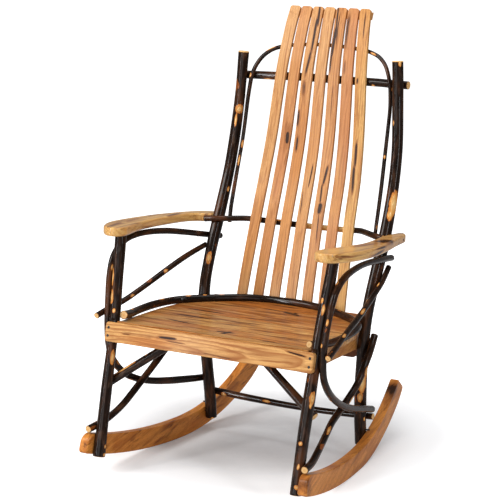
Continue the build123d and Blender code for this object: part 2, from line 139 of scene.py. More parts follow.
# ---- how a pole's bark is made; lengths in millimetres ------------------------------------------
RING_STEP = 3.5               # between rings of a pole mesh
THICK_POLE, THICK_SIDES, THIN_SIDES = 20, 28, 20               # a diameter, corners of a ring
END_EASE = 1.4                # taken off the rim of a cut end
END_RINGS = (0.9, 0.55, 0.2)  # inner rings of a cut end, as shares of its radius
CORNER, CORNER_STEPS = 0.45, 6              # rounding of a path's corners
SWING_FADE = 60               # over which the wander starts and ends
PHASES = 6.28                 # range of the random phases, radians
CROWN = 3.0                   # of bare wood at the top of a rear post
HOOP_SAG = 5.5                # by which the seat hoop hangs between its ends
SCAR_LONG, SCAR_WIDE = 0.68, 0.70           # on the lengths and widths in SCARS
SCAR_RIM = 1.6                # where a scar fades out, in its own half sizes
SCAR_SIDE = 0.9               # how far off the middle it may be seen, in radii
SCAR_SPACING = 250            # of pole to one random scar
TRIM_GAP, NOTCH_GAP = 0.1, 0.2              # between a trimmed pole and its board
NOTCH_HALF = 25.5             # half height of the notch behind the apron
LEG_FLAT, POST_FLAT = 116, 108              # tops of the flats against the rockers

# ---- bare knots and scars: pole, photo pixel, length, width and height in mm, 1 for an eye ------
SCARS = [
    ("rear_post_l", (239, 109), 20, 15, 5.0, 1), ("rear_post_l", (235.6, 119), 30, 6, 0.2, 0),
    ("rear_post_l", (208.8, 259), 26, 11, 1.5, 1), ("rear_post_l", (228, 190), 12, 5, 0.2, 0),
    ("back_arch", (242.8, 144.5), 17, 6, 1.6, 1), ("back_arch", (239, 160), 22, 4, 0.2, 0),
    ("back_arch", (271, 47), 22, 4, 0.2, 0), ("back_arch", (374, 54), 16, 4, 0.2, 0),
    ("back_arch", (248, 74), 10, 6, 0.8, 0), ("back_arch", (384.5, 157), 9, 4, 1.2, 0),
    ("back_arch", (377, 228), 9, 5, 0.8, 1),
    ("rear_post_r", (393.5, 204), 52, 20, 0.6, 0), ("rear_post_r", (389.5, 216), 26, 11, 0.3, 0),
    ("rear_post_r", (399.5, 64), 14, 7, 0.3, 0), ("rear_post_r", (362, 381), 46, 15, 0.8, 0),
    ("rear_post_r", (366, 358), 30, 7, 0.3, 0), ("rear_post_r", (360, 395), 20, 10, 1.4, 1),
    ("rear_post_r", (366, 372), 20, 6, 0.3, 0), ("rear_post_r", (364.5, 417), 9, 6, 0.2, 0),
    ("rear_post_l", (212.5, 417), 8, 6, 0.8, 0), ("rear_post_l", (213, 424), 6, 6, 0.2, 0),
    ("front_leg_l", (112.5, 278), 34, 8, 0.4, 0), ("front_leg_l", (112, 297), 30, 8, 0.4, 1),
    ("front_leg_l", (114, 311), 9, 7, 0.3, 0), ("front_leg_l", (113, 357), 30, 9, 0.8, 1),
    ("front_leg_l", (105, 455), 7, 7, 0.3, 0), ("front_leg_l", (107, 446), 9, 5, 0.3, 0),
    ("side_hoop_l", (112.5, 268), 14, 5, 1.2, 0), ("side_hoop_l", (113, 298), 18, 5, 1.0, 0),
    ("side_hoop_l", (119, 360.5), 14, 7, 1.0, 1), ("side_hoop_l", (104, 366), 16, 6, 0.3, 0),
    ("front_leg_r", (323, 309), 22, 6, 0.3, 0), ("front_leg_r", (322, 300), 12, 5, 0.3, 0),
    ("front_leg_r", (312, 397), 26, 10, 0.8, 1), ("front_leg_r", (300, 443.5), 8, 8, 1.0, 1),
    ("front_leg_r", (298, 467), 12, 5, 0.3, 0), ("front_leg_r", (310, 405), 14, 5, 0.3, 0),
    ("front_leg_r", (296.5, 487), 9, 9, 0.3, 0),
    ("side_hoop_r", (334, 282.5), 12, 7, 1.2, 1), ("side_hoop_r", (327.5, 322), 14, 5, 0.6, 0),
    ("side_hoop_r", (321, 346), 8, 5, 0.4, 0),
    ("upper_brace_l", (163.7, 272.4), 14, 7, 1.4, 1),
    ("upper_brace_l", (131, 296.5), 12, 5, 0.6, 0),
    ("upper_brace_r", (342.8, 337.5), 16, 6, 1.2, 0), ("upper_brace_r", (361, 313), 26, 6, 0.6, 0),
    ("upper_brace_r", (377, 285), 16, 5, 0.5, 0),
    ("lower_brace_r", (353.5, 402), 30, 6, 0.4, 0), ("lower_brace_r", (368, 371), 22, 7, 0.4, 1),
    ("lower_brace_r", (327, 433), 26, 6, 0.4, 1),
    ("front_brace_l", (125, 368), 60, 5, 0.2, 0),
    ("rear_stretcher", (225.5, 394.5), 13, 8, 1.4, 1),
    ("rear_stretcher", (267.7, 401.5), 20, 5, 0.4, 0),
    ("lumbar_rail", (311, 219), 40, 40, 0.1, 0), ("lumbar_rail", (326, 220.5), 40, 40, 0.1, 0),
    ("lumbar_rail", (342, 223), 34, 36, 0.1, 0), ("lumbar_rail", (281, 215), 12, 9, 0.1, 0),
    ("top_back_rail", (269, 80), 22, 4, 0.1, 0), ("top_back_rail", (374, 88), 8, 7, 0.1, 0),
    ("seat_hoop", (188, 295.5), 14, 6, 1.0, 0), ("seat_hoop", (205, 293), 10, 5, 0.6, 0),
    ("seat_hoop", (160, 298.5), 18, 4, 0.8, 0), ("seat_hoop", (130, 309), 20, 4, 0.6, 0),
    ("seat_hoop", (222, 294), 14, 3, 0.4, 0),
]


# ---- node helpers -------------------------------------------------------------------------------
class Tree:
    """Small wrapper that makes shader nodes and links by socket name."""

    def __init__(self, name):
        self.material = bpy.data.materials.new(name)
        self.material.use_nodes = True
        self.nodes = self.material.node_tree.nodes
        self.links = self.material.node_tree.links
        self.nodes.clear()
        self.out = self.nodes.new("ShaderNodeOutputMaterial")
        self.shader = self.nodes.new("ShaderNodeBsdfPrincipled")
        self.links.new(self.shader.outputs[0], self.out.inputs[0])

    def put(self, socket, value):
        if isinstance(value, bpy.types.NodeSocket):
            self.links.new(value, socket)
        else:
            socket.default_value = value

    def math(self, operation, a, b=0.0):
        node = self.nodes.new("ShaderNodeMath")
        node.operation = operation
        self.put(node.inputs[0], a)
        self.put(node.inputs[1], b)
        return node.outputs[0]

    def vector(self, operation, a, b=(0, 0, 0)):
        node = self.nodes.new("ShaderNodeVectorMath")
        node.operation = operation
        self.put(node.inputs[0], a)
        self.put(node.inputs[1], b)
        return node.outputs["Value" if operation in ("LENGTH", "DOT_PRODUCT") else "Vector"]

    def dot(self, a, b):
        return self.vector("DOT_PRODUCT", a, tuple(b))

    def mapping(self, vector, location=(0, 0, 0), rotation=(0, 0, 0), scale=(1, 1, 1)):
        node = self.nodes.new("ShaderNodeMapping")
        self.links.new(vector, node.inputs[0])
        for index, value in ((1, location), (2, rotation), (3, scale)):
            node.inputs[index].default_value = value
        return node.outputs[0]

    def attribute(self, name, output="Vector"):
        node = self.nodes.new("ShaderNodeAttribute")
        node.attribute_name = name
        return node.outputs[output]

    def object_coordinates(self):
        return self.nodes.new("ShaderNodeTexCoord").outputs["Object"]

    def noise(self, vector, scale, detail=3.0, rough=0.55, colour=False):
        node = self.nodes.new("ShaderNodeTexNoise")
        self.links.new(vector, node.inputs["Vector"])
        node.inputs["Scale"].default_value = scale
        node.inputs["Detail"].default_value = detail
        node.inputs["Roughness"].default_value = rough
        return node.outputs["Color" if colour else "Fac"]

    def rings(self, vector, axis, scale):
        node = self.nodes.new("ShaderNodeTexWave")
        node.wave_type, node.rings_direction, node.wave_profile = "RINGS", axis, "SAW"
        self.links.new(vector, node.inputs["Vector"])
        node.inputs["Scale"].default_value = scale
        return node.outputs["Fac"]

    def ramp(self, value, stops, smooth=False):
        node = self.nodes.new("ShaderNodeValToRGB")
        self.links.new(value, node.inputs[0])
        if smooth:
            node.color_ramp.interpolation = "EASE"
        elements = node.color_ramp.elements
        while len(elements) > 1:
            elements.remove(elements[-1])
        for index, (place, colour) in enumerate(stops):
            element = elements[0] if index == 0 else elements.new(place)
            element.position = place
            element.color = (*colour, 1) if isinstance(colour, tuple) else (colour,) * 3 + (1,)
        return node.outputs[0]

    def mix(self, factor, a, b, blend="MIX"):
        node = self.nodes.new("ShaderNodeMix")
        node.data_type, node.blend_type = "RGBA", blend
        self.put(node.inputs[0], factor)
        for index, value in ((6, a), (7, b)):
            self.put(node.inputs[index], (*value, 1) if isinstance(value, tuple) else value)
        return node.outputs[2]

    def bump(self, height, strength, distance, below=None):
        node = self.nodes.new("ShaderNodeBump")
        node.inputs["Strength"].default_value = strength
        node.inputs["Distance"].default_value = distance
        self.links.new(height, node.inputs["Height"])
        if below is not None:
            self.links.new(below, node.inputs["Normal"])
        return node.outputs[0]

    def finish(self, colour, roughness, normal=None, coat=0.0, coat_roughness=0.2):
        self.put(self.shader.inputs["Base Color"], colour)
        self.put(self.shader.inputs["Roughness"], roughness)
        self.shader.inputs["Coat Weight"].default_value = coat
        self.shader.inputs["Coat Roughness"].default_value = coat_roughness
        if normal is not None:
            self.links.new(normal, self.shader.inputs["Normal"])
        return self.material


# ---- materials ----------------------------------------------------------------------------------
BARK_SPECULAR, WOOD_SPECULAR = 0.04, 0.10
BARK_TONES = [(0.30, (0.0040, 0.0022, 0.0015)), (0.52, (0.015, 0.0070, 0.0040)),
              (0.70, (0.070, 0.030, 0.015))]
WORN, LICHEN = (0.110, 0.036, 0.012), (0.085, 0.066, 0.050)
SCAR_TONES = [(0.34, (0.22, 0.055, 0.010)), (0.46, (0.62, 0.21, 0.040)),
              (0.64, (0.76, 0.38, 0.10)), (0.90, (0.86, 0.58, 0.25))]
SCAR_GRAIN, SCAR_EYE = (0.32, 0.11, 0.025), (0.20, 0.070, 0.025)
RING_TONES = [(0.1, (0.60, 0.35, 0.13)), (0.8, (0.78, 0.54, 0.25))]
HEART_TO_RIM = [(0.0, (0.40, 0.19, 0.07)), (0.2, (0.92, 0.75, 0.52)), (0.90, (1, 1, 1)),
                (0.97, (0.55, 0.28, 0.12)), (1.0, (0.16, 0.07, 0.03))]
PORE, STREAK = (0.12, 0.040, 0.012), (0.150, 0.045, 0.011)
KNOT_EDGE, KNOT = (0.25, 0.078, 0.017), (0.022, 0.007, 0.003)
KNOT_SPREAD, KNOT_GAIN = 1.6, 1.25          # on a mark's half width and on its strength
SWAY, RAGGED, LIFT = 0.016, 0.005, 0.010    # metres: grain wander, ragged marks, grain at a knot


def bark_material():
    """Varnished hickory bark, straightened along the pole by the `along` attribute."""
    t = Tree("hickory_bark")
    along = t.attribute("along")
    bare = t.attribute("bare", "Fac")
    eye = t.attribute("eye", "Fac")
    mottle = t.noise(t.mapping(along, scale=(1, 1, 0.22)), 95, 6, 0.62)
    stripes = t.noise(t.mapping(along, scale=(1, 1, 0.07)), 330, 4, 0.6)
    lumps = t.noise(t.mapping(along, scale=(1, 1, 0.5)), 120, 3, 0.5)
    broad = t.noise(t.mapping(along, location=(3, 1, 7), scale=(1, 1, 0.3)), 24, 3, 0.5)
    dark = t.mix(t.ramp(broad, [(0.56, 0.0), (0.70, 0.8)]), t.ramp(mottle, BARK_TONES), WORN)
    lichen = t.noise(t.mapping(along, location=(6, 2, 3), scale=(1, 1, 0.45)), 60, 4, 0.6)
    dark = t.mix(t.ramp(lichen, [(0.62, 0.0), (0.72, 0.3)]), dark, LICHEN)
    fray = t.noise(t.mapping(along, scale=(1, 1, 0.35)), 210, 4)
    fray = t.math("MULTIPLY", t.math("SUBTRACT", fray, 0.5), 0.50)
    edge = t.math("ADD", bare, fray)
    mask = t.ramp(edge, [(0.35, 0.0), (0.40, 1.0)])
    specks = t.ramp(t.noise(t.mapping(along, location=(9, 4, 2), scale=(1, 1, 0.4)), 46, 2, 0.4),
                    [(0.705, 0.0), (0.725, 0.9)])
    mask = t.math("MAXIMUM", mask, specks)
    grain = t.noise(t.mapping(along, scale=(1, 1, 0.1)), 420, 3, 0.6)
    wood = t.mix(t.ramp(grain, [(0.35, 0.35), (0.6, 0.0)]), t.ramp(edge, SCAR_TONES), SCAR_GRAIN)
    pupil = t.ramp(eye, [(0.45, 0.0), (0.60, 0.5), (0.75, 0.1), (0.88, 0.2), (0.95, 0.75)])
    wood = t.mix(pupil, wood, SCAR_EYE)
    colour = t.mix(mask, dark, wood)
    rough = t.ramp(mottle, [(0.3, 0.13), (0.7, 0.30)])
    height = t.math("ADD", t.math("MULTIPLY", stripes, 0.6), lumps)
    normal = t.bump(height, 0.7, 0.0014)
    normal = t.bump(mask, 0.5, 0.0006, normal)
    t.shader.inputs["Specular IOR Level"].default_value = BARK_SPECULAR
    return t.finish(colour, rough, normal, coat=0.26, coat_roughness=0.05)


def end_material():
    """Sawn pole end: pale rings inside a thin dark rim."""
    t = Tree("cut_end")
    along = t.attribute("along")
    radius = t.attribute("rim", "Fac")
    rings = t.noise(t.mapping(along, scale=(1, 1, 0.1)), 260, 2)
    wave = t.math("ADD", radius, t.math("MULTIPLY", rings, 0.16))
    wave = t.math("SINE", t.math("MULTIPLY", wave, 34))
    colour = t.ramp(t.math("ADD", t.math("MULTIPLY", wave, 0.5), 0.5), RING_TONES)
    colour = t.mix(1.0, colour, t.ramp(radius, HEART_TO_RIM), "MULTIPLY")
    return t.finish(colour, 0.5, t.bump(rings, 0.3, 0.0004))


def wood_material(name, light, deep, late, axis, seed, turn=(0, 0, 0), figure=0.3, share=0.5,
                  flush=(0.58, 0.245, 0.070), streaks=0.4, marks=(), gloss=0.05, pitch=6.0,
                  heart=(0.035, 0.035, 0.035), fine=150, patch=22):
    """Hickory sawn along one axis: fibres, growth lines, flushes of colour, streaks and marks.

    turn: tilt of the log against the board; figure: how clear the growth rings are;
    share: how much of the deep tone; flush: a broad warmer tone; streaks: how many dark streaks;
    marks: (start, end, face normal, half width, strength, depth), a knot or streak on the face;
    gloss: weight of the varnish; pitch: millimetres between growth rings;
    heart: how far the log's axis lies from the middle of the board;
    fine: grain lines per metre; patch: patches of tone per metre.
    """
    t = Tree(name + "_wood")
    t.shader.inputs["Specular IOR Level"].default_value = WOOD_SPECULAR
    rand = random.Random(seed)
    place = t.object_coordinates()
    shifts = [[rand.uniform(-2, 2) for _ in range(3)] for _ in range(6)]
    across = {"X": (0, 1, 1), "Y": (1, 0, 1), "Z": (1, 1, 0)}[axis]

    def stretched(k):
        return tuple(1.0 if a else k for a in across)

    slow = t.noise(t.mapping(place, shifts[0], scale=stretched(0.35)), 14, 2, 0.5, colour=True)
    sway = t.vector("SUBTRACT", slow, (0.5, 0.5, 0.5))
    bent = t.vector("ADD", place, t.vector("MULTIPLY", sway, tuple(SWAY * a for a in across)))
    ragged_place = t.vector("ADD", place, t.vector("MULTIPLY", sway, (RAGGED,) * 3))
    field = None
    for start, end, face, half, strength, depth in marks:
        run = end - start
        side = run.cross(Vector(face)).normalized()
        local = t.vector("SUBTRACT", ragged_place, tuple(start))
        u = t.math("SUBTRACT", t.dot(local, run * (2 / run.length_squared)), 1.0)
        v = t.dot(local, side / (KNOT_SPREAD * half * MM))
        w = t.dot(local, Vector(face).normalized() / (depth * MM))
        u = t.math("MULTIPLY", u, u)
        near = t.math("ADD", t.math("MULTIPLY", u, u), t.math("MULTIPLY", v, v))
        near = t.math("ADD", near, t.math("MULTIPLY", w, w))
        near = t.math("EXPONENT", t.math("MULTIPLY", near, -1.0))
        near = t.math("MULTIPLY", near, KNOT_GAIN * strength)
        field = near if field is None else t.math("MAXIMUM", field, near)
    if field is not None:
        lift = t.nodes.new("ShaderNodeCombineXYZ")
        for index, on in enumerate(across):
            if on:
                t.put(lift.inputs[index], t.math("MULTIPLY", field, LIFT))
        bent = t.vector("ADD", bent, lift.outputs[0])
    low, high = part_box(name)
    middle = [-(a + b) / 2 for a, b in zip(low, high)]
    log = t.mapping(t.mapping(bent, middle), rotation=turn)
    core = [h * a * rand.uniform(0.7, 1.3) for h, a in zip(heart, across)]
    rings = t.rings(t.mapping(log, core), axis, 2 * math.pi / (20 * pitch * MM))
    bands = t.noise(t.mapping(log, shifts[1], scale=stretched(0.022)), fine, 4, 0.6)
    fibres = t.noise(t.mapping(log, shifts[2], scale=stretched(0.02)), 800, 4, 0.65)
    pores = t.noise(t.mapping(log, shifts[3], scale=stretched(0.06)), 1400, 2, 0.5)
    tone = t.noise(t.mapping(log, shifts[4], scale=stretched(0.12)), patch, 3, 0.5)
    blush = t.noise(t.mapping(log, shifts[1], scale=stretched(0.3)), 9, 2, 0.5)
    streak = t.noise(t.mapping(log, shifts[5], scale=stretched(0.05)), 75, 4, 0.6)

    colour = t.mix(t.ramp(tone, [(0.62 - 0.25 * share, 0.0), (0.85 - 0.3 * share, 1.0)], True),
                   light, deep)
    colour = t.mix(t.ramp(blush, [(0.45, 0.0), (0.65, 0.7)], True), colour, flush)
    colour = t.mix(t.ramp(rings, [(0.0, 0.0), (0.45, 0.12 * figure), (0.90, figure), (1.0, 0.0)]),
                   colour, late)
    colour = t.mix(t.ramp(bands, [(0.48, 0.0), (0.64, 0.60)]), colour, late)
    colour = t.mix(t.ramp(fibres, [(0.36, 0.42), (0.56, 0.0)]), colour, late)
    colour = t.mix(t.ramp(pores, [(0.30, 0.35), (0.36, 0.0)]), colour, PORE)
    edge = 0.72 - 0.09 * streaks
    colour = t.mix(t.ramp(streak, [(edge - 0.06, 0.0), (edge + 0.08, 0.85)]), colour, STREAK)
    if field is not None:
        torn = t.math("ADD", t.math("MULTIPLY", bands, 0.55), t.math("MULTIPLY", fibres, 0.45))
        ragged = t.math("ADD", field, t.math("MULTIPLY", t.math("SUBTRACT", torn, 0.5), 1.5))
        colour = t.mix(t.ramp(ragged, [(0.08, 0.0), (0.42, 0.78)]), colour, KNOT_EDGE)
        colour = t.mix(t.ramp(ragged, [(0.42, 0.0), (0.74, 0.97)]), colour, KNOT)
    height = t.math("SUBTRACT", t.math("MULTIPLY", fibres, 0.7), t.math("MULTIPLY", rings, 0.2))
    rough = t.ramp(fibres, [(0.3, 0.42), (0.7, 0.30)])
    return t.finish(colour, rough, t.bump(height, 0.16, 0.0005), gloss, 0.12)


def screw_material():
    """Blackened steel, a little worn."""
    t = Tree("screw_head")
    wear = t.noise(t.object_coordinates(), 900, 3)
    t.shader.inputs["Metallic"].default_value = 0.6
    return t.finish(t.ramp(wear, [(0.3, (0.008, 0.008, 0.008)), (0.7, (0.035, 0.03, 0.028))]),
                    t.ramp(wear, [(0.3, 0.35), (0.7, 0.55)]))


# ---- paths and sight lines ----------------------------------------------------------------------
def interp(table, t, key, value):
    """Column `value` of a table where its column `key` is t."""
    rows = sorted(table, key=lambda row: row[key])
    for a, b in zip(rows, rows[1:]):
        if t <= b[key] or b is rows[-1]:
            return a[value] + (b[value] - a[value]) * (t - a[key]) / (b[key] - a[key])


def side_x(y, z):
    """x of the plane through a leg's and a rear post's middle, at this depth and height."""
    leg_x, leg_y = interp(LEG, z, 2, 0), interp(LEG, z, 2, 1)
    post_x, post_y = interp(POST, z, 2, 0), interp(POST, z, 2, 1)
    return leg_x + (post_x - leg_x) * (y - leg_y) / (post_y - leg_y)


def side_points(rows, sign):
    return [(sign * (side_x(y, z) + off), y, z) for y, z, off in rows]


def flip(points):
    return [(-x, y, z) for x, y, z in points]


def rounded(points):
    """Points along the polyline with each corner rounded by CORNER of its shorter run."""
    pts = [Vector(p) for p in points]
    path = [pts[0]]
    for a, b, c in zip(pts, pts[1:], pts[2:]):
        cut = CORNER * min((b - a).length, (c - b).length)
        start, end = b + (a - b).normalized() * cut, b + (c - b).normalized() * cut
        for k in range(CORNER_STEPS + 1):
            u = k / CORNER_STEPS
            path.append(start * (1 - u) ** 2 + b * 2 * u * (1 - u) + end * u ** 2)
    return path + [pts[-1]]


def resampled(path, step):
    """Evenly spaced points along a path, and its length."""
    lengths = [0.0]
    for a, b in zip(path, path[1:]):
        lengths.append(lengths[-1] + (b - a).length)
    count = max(2, round(lengths[-1] / step))
    out, k = [], 0
    for i in range(count + 1):
        s = lengths[-1] * i / count
        while k < len(lengths) - 2 and lengths[k + 1] < s:
            k += 1
        u = (s - lengths[k]) / max(lengths[k + 1] - lengths[k], 1e-9)
        out.append(path[k].lerp(path[k + 1], min(max(u, 0), 1)))
    return out, lengths[-1]


def to_row(point):
    """Layout millimetres to metres in the row frame."""
    return Vector((point[0], point[1] - MID_DEPTH, point[2])) * MM


VIEW = (TARGET - EYE).normalized()
RIGHT = VIEW.cross(Vector((0, 0, 1))).normalized()
UP = RIGHT.cross(VIEW)


def to_pixel(point):
    """Photo pixel of a layout point."""
    d = to_row(point) - EYE
    return (PHOTO_SIZE / 2 + FOCAL_PX * d.dot(RIGHT) / d.dot(VIEW),
            PHOTO_SIZE / 2 - FOCAL_PX * d.dot(UP) / d.dot(VIEW))


def seen(pixel, point, normal):
    """Where the sight line of a photo pixel meets a plane through a layout point."""
    ray = VIEW * FOCAL_PX + RIGHT * (pixel[0] - PHOTO_SIZE / 2) + UP * (PHOTO_SIZE / 2 - pixel[1])
    normal = Vector(normal)
    return EYE + ray * ((to_row(point) - EYE).dot(normal) / ray.dot(normal))


def on_back(pixel):
    spot = seen(pixel, BACK_START, (0, 1, 0))
    for _ in range(SIGHT_STEPS):
        spot = seen(pixel, (0, interp(BACK_FRONT, spot.z / MM, 1, 0), 0), (0, 1, 0))
    return spot


def on_seat(pixel):
    spot = seen(pixel, SEAT_START, (0, 0, 1))
    for _ in range(SIGHT_STEPS):
        spot = seen(pixel, (0, 0, interp(SEAT_TOP, spot.y / MM + MID_DEPTH, 0, 1)), (0, 0, 1))
    return spot


def on_apron(pixel):
    return seen(pixel, (0, APRON_Y, APRON_Z), APRON_FACE)


def on_arm(pixel):
    return seen(pixel, (0, ARM_Y, ARM_TOP), ARM_FACE)


def on_edge(side):
    """Places for marks on the arm edge that faces the camera."""
    return lambda pixel: seen(pixel, (ARM_EDGE_X[side], 0, 0), EDGE_FACE)


def on_rocker(pixel):
    return seen(pixel, (ROCKER_INNER + ROCKER_T, 0, 0), ROCKER_FACE)


def drawn(strokes, place, face, depth=THROUGH):
    """Marks for wood_material from strokes of (pixel, pixel, half width in mm, strength)."""
    return [(place(a), place(b), face, half, strength, depth) for a, b, half, strength in strokes]


# ---- pole meshes --------------------------------------------------------------------------------
def wobble(rand, turns, reach):
    """Sum of a few sines: a smooth random function of one value."""
    waves = [(rand.uniform(0.3, 1.0) * k, rand.uniform(0, PHASES), reach / (k + 1)) for k in turns]
    return lambda s: sum(amp * math.sin(k * s + phase) for k, phase, amp in waves)


def ring_frames(centres):
    """Tangent, normal towards the camera and binormal at each ring of a pole."""
    frames = []
    for a, b in zip([centres[0]] + centres[:-1], centres[1:] + [centres[-1]]):
        tangent = (b - a).normalized()
        normal = (-VIEW - tangent * (-VIEW).dot(tangent)).normalized()
        frames.append((tangent, normal, tangent.cross(normal)))
    return frames


def place_scars(name, centres, frames, length, radius):
    """Turn each scar's pixel into a place along the pole and an angle round it."""
    found = []
    for pole, pixel, long, wide, high, eye in SCARS:
        if pole != name:
            continue
        gaps = [math.dist(to_pixel(c), pixel) for c in centres]
        i = gaps.index(min(gaps))
        side = to_pixel(centres[i] + frames[i][2] * radius)
        middle = to_pixel(centres[i])
        reach = math.dist(side, middle) or 1.0
        offset = ((pixel[0] - middle[0]) * (side[0] - middle[0])
                  + (pixel[1] - middle[1]) * (side[1] - middle[1])) / reach ** 2
        angle = math.asin(min(max(offset, -SCAR_SIDE), SCAR_SIDE))
        found.append((length * i / (len(centres) - 1), angle,
                      SCAR_LONG * long, SCAR_WIDE * wide, high, eye))
    return found


def random_scars(rand, length, count):
    """Small scars anywhere: place along the pole, angle, length, width, height, eye or not."""
    return [(rand.uniform(0.04, 0.96) * length, rand.uniform(0.9, 5.4), rand.uniform(4, 12),
             rand.uniform(2.5, 5), rand.uniform(0.1, 1.0), rand.random() < 0.35)
            for _ in range(count)]


def pole(name, points, diameter, trim=None, growth=(1.0, 1.0), seed=1, crown=0.0):
    """Bark-covered pole for one CAD node; growth is its thickness at start and end.

    crown: millimetres at the far end where the bark has been cut away.
    """
    rand = random.Random(seed)
    centres, length = resampled(rounded(points), RING_STEP)
    radius = diameter / 2
    sides = THICK_SIDES if diameter > THICK_POLE else THIN_SIDES
    swing = [wobble(rand, (0.006, 0.013, 0.03), 0.45) for _ in range(2)]
    swell = wobble(rand, (0.008, 0.02, 0.045), 0.028)
    ridges = [(rand.randint(2, 6), rand.uniform(0, PHASES), rand.uniform(0.006, 0.016),
               rand.uniform(-0.012, 0.012)) for _ in range(4)]
    frames = ring_frames(centres)
    scars = place_scars(name, centres, frames, length, radius)
    scars += random_scars(rand, length, round(length / SCAR_SPACING))
    verts, along, bare, eye, rim = [], [], [], [], []
    start = Vector((rand.uniform(0, 9), rand.uniform(0, 9), rand.uniform(0, 9)))
    last = len(centres) - 1
    rows = [(i, length * i / last, radius) for i in range(last + 1)]
    rows = [(0, 0.0, radius - END_EASE)] + rows + [(last, length, radius - END_EASE)]
    for row, (i, s, base) in enumerate(rows):
        tangent, normal, binormal = frames[i]
        centre = centres[i]
        fade = min(1.0, s / SWING_FADE, (length - s) / SWING_FADE)
        centre = centre + (normal * swing[0](s) + binormal * swing[1](s)) * max(fade, 0)
        if row == 1:
            centre = centre + tangent * END_EASE
        if row == len(rows) - 2:
            centre = centre - tangent * END_EASE
        for j in range(sides):
            theta = 2 * math.pi * j / sides
            ridge = sum(h * math.sin(n * theta + p + k * s) for n, p, h, k in ridges)
            r = base * (growth[0] + (growth[1] - growth[0]) * s / length + swell(s) + ridge)
            field = pupil = 0.0
            for at, angle, long, wide, high, has_eye in scars:
                turn = (theta - angle + math.pi) % (2 * math.pi) - math.pi
                d = math.hypot((s - at) / long, turn * radius / wide)
                if d < SCAR_RIM:
                    near = max(0.0, 1 - d / SCAR_RIM)
                    field = max(field, near)
                    r += high * near * near * (3 - 2 * near)
                    if has_eye:
                        pupil = max(pupil, near)
            position = centre + (normal * math.cos(theta) + binormal * math.sin(theta)) * r
            if trim:
                position = trim(position)
            if row in (0, len(rows) - 1) or length - s < crown:
                field = 1.0
            verts.append(to_row(position))
            along.append(Vector((r * math.cos(theta), r * math.sin(theta), s)) * MM + start)
            bare.append(field)
            eye.append(pupil)
            rim.append(1.0)
    faces = []
    for row in range(len(rows) - 1):
        for j in range(sides):
            k = (j + 1) % sides
            a, b = row * sides, (row + 1) * sides
            faces.append((a + j, a + k, b + k, b + j))
    caps = []
    for first in (0, (len(rows) - 1) * sides):
        loops = [list(range(first, first + sides))]
        centre = sum((verts[v] for v in loops[0]), Vector()) / sides
        for share in END_RINGS:
            ring = []
            for v in loops[0]:
                verts.append(centre.lerp(verts[v], share))
                along.append(along[v])
                bare.append(0.0)
                eye.append(0.0)
                rim.append(share)
                ring.append(len(verts) - 1)
            loops.append(ring)
        for outer, inner in zip(loops, loops[1:]):
            for j in range(sides):
                k = (j + 1) % sides
                caps.append((outer[j], inner[j], inner[k], outer[k]) if first == 0 else
                            (outer[k], inner[k], inner[j], outer[j]))
        caps.append(tuple(reversed(loops[-1])) if first == 0 else tuple(loops[-1]))
    mesh = bpy.data.meshes.new(name + "_bark")
    mesh.from_pydata(verts, [], faces + caps)
    mesh.materials.append(BARK)
    mesh.materials.append(CUT_END)
    for index, polygon in enumerate(mesh.polygons):
        polygon.material_index = 1 if index >= len(faces) else 0
        polygon.use_smooth = index < len(faces)
    for label, values in (("bare", bare), ("eye", eye), ("rim", rim)):
        mesh.attributes.new(label, "FLOAT", "POINT").data.foreach_set("value", values)
    flat = [c for v in along for c in v]
    mesh.attributes.new("along", "FLOAT_VECTOR", "POINT").data.foreach_set("vector", flat)
    mesh.validate()
    piece = bpy.data.objects.new(name + "_pole", mesh)
    bpy.context.scene.collection.objects.link(piece)
    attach(piece, BODY)
    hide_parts(name)


def beside_rocker(z_top):
    """Keeps a leg's foot clear of the rocker face it is screwed to."""
    def trim(point):
        if point.z > z_top:
            return point
        face = ROCKER_INNER - TRIM_GAP - TOE_IN * point.y
        x = math.copysign(min(abs(point.x), face), point.x)
        return Vector((x, point.y, point.z))
    return trim


def leg_trim(point):
    """Front leg: flat on the rocker, flat behind the apron, cut under the arm."""
    point = beside_rocker(LEG_FLAT)(point)
    under_arm = ARM_TOP - ARM_T - ARM_SLOPE * (point.y - ARM_Y) - TRIM_GAP
    point.z = min(point.z, under_arm)
    if abs(point.z - APRON_Z) < NOTCH_HALF:
        front = APRON_Y + APRON_LEAN * (point.z - APRON_Z)
        back = front + APRON_T * math.hypot(1, APRON_LEAN) + NOTCH_GAP
        point.y = max(point.y, back)
    return point


# ---- build the poles ----------------------------------------------------------------------------
BARK = bark_material()
CUT_END = end_material()


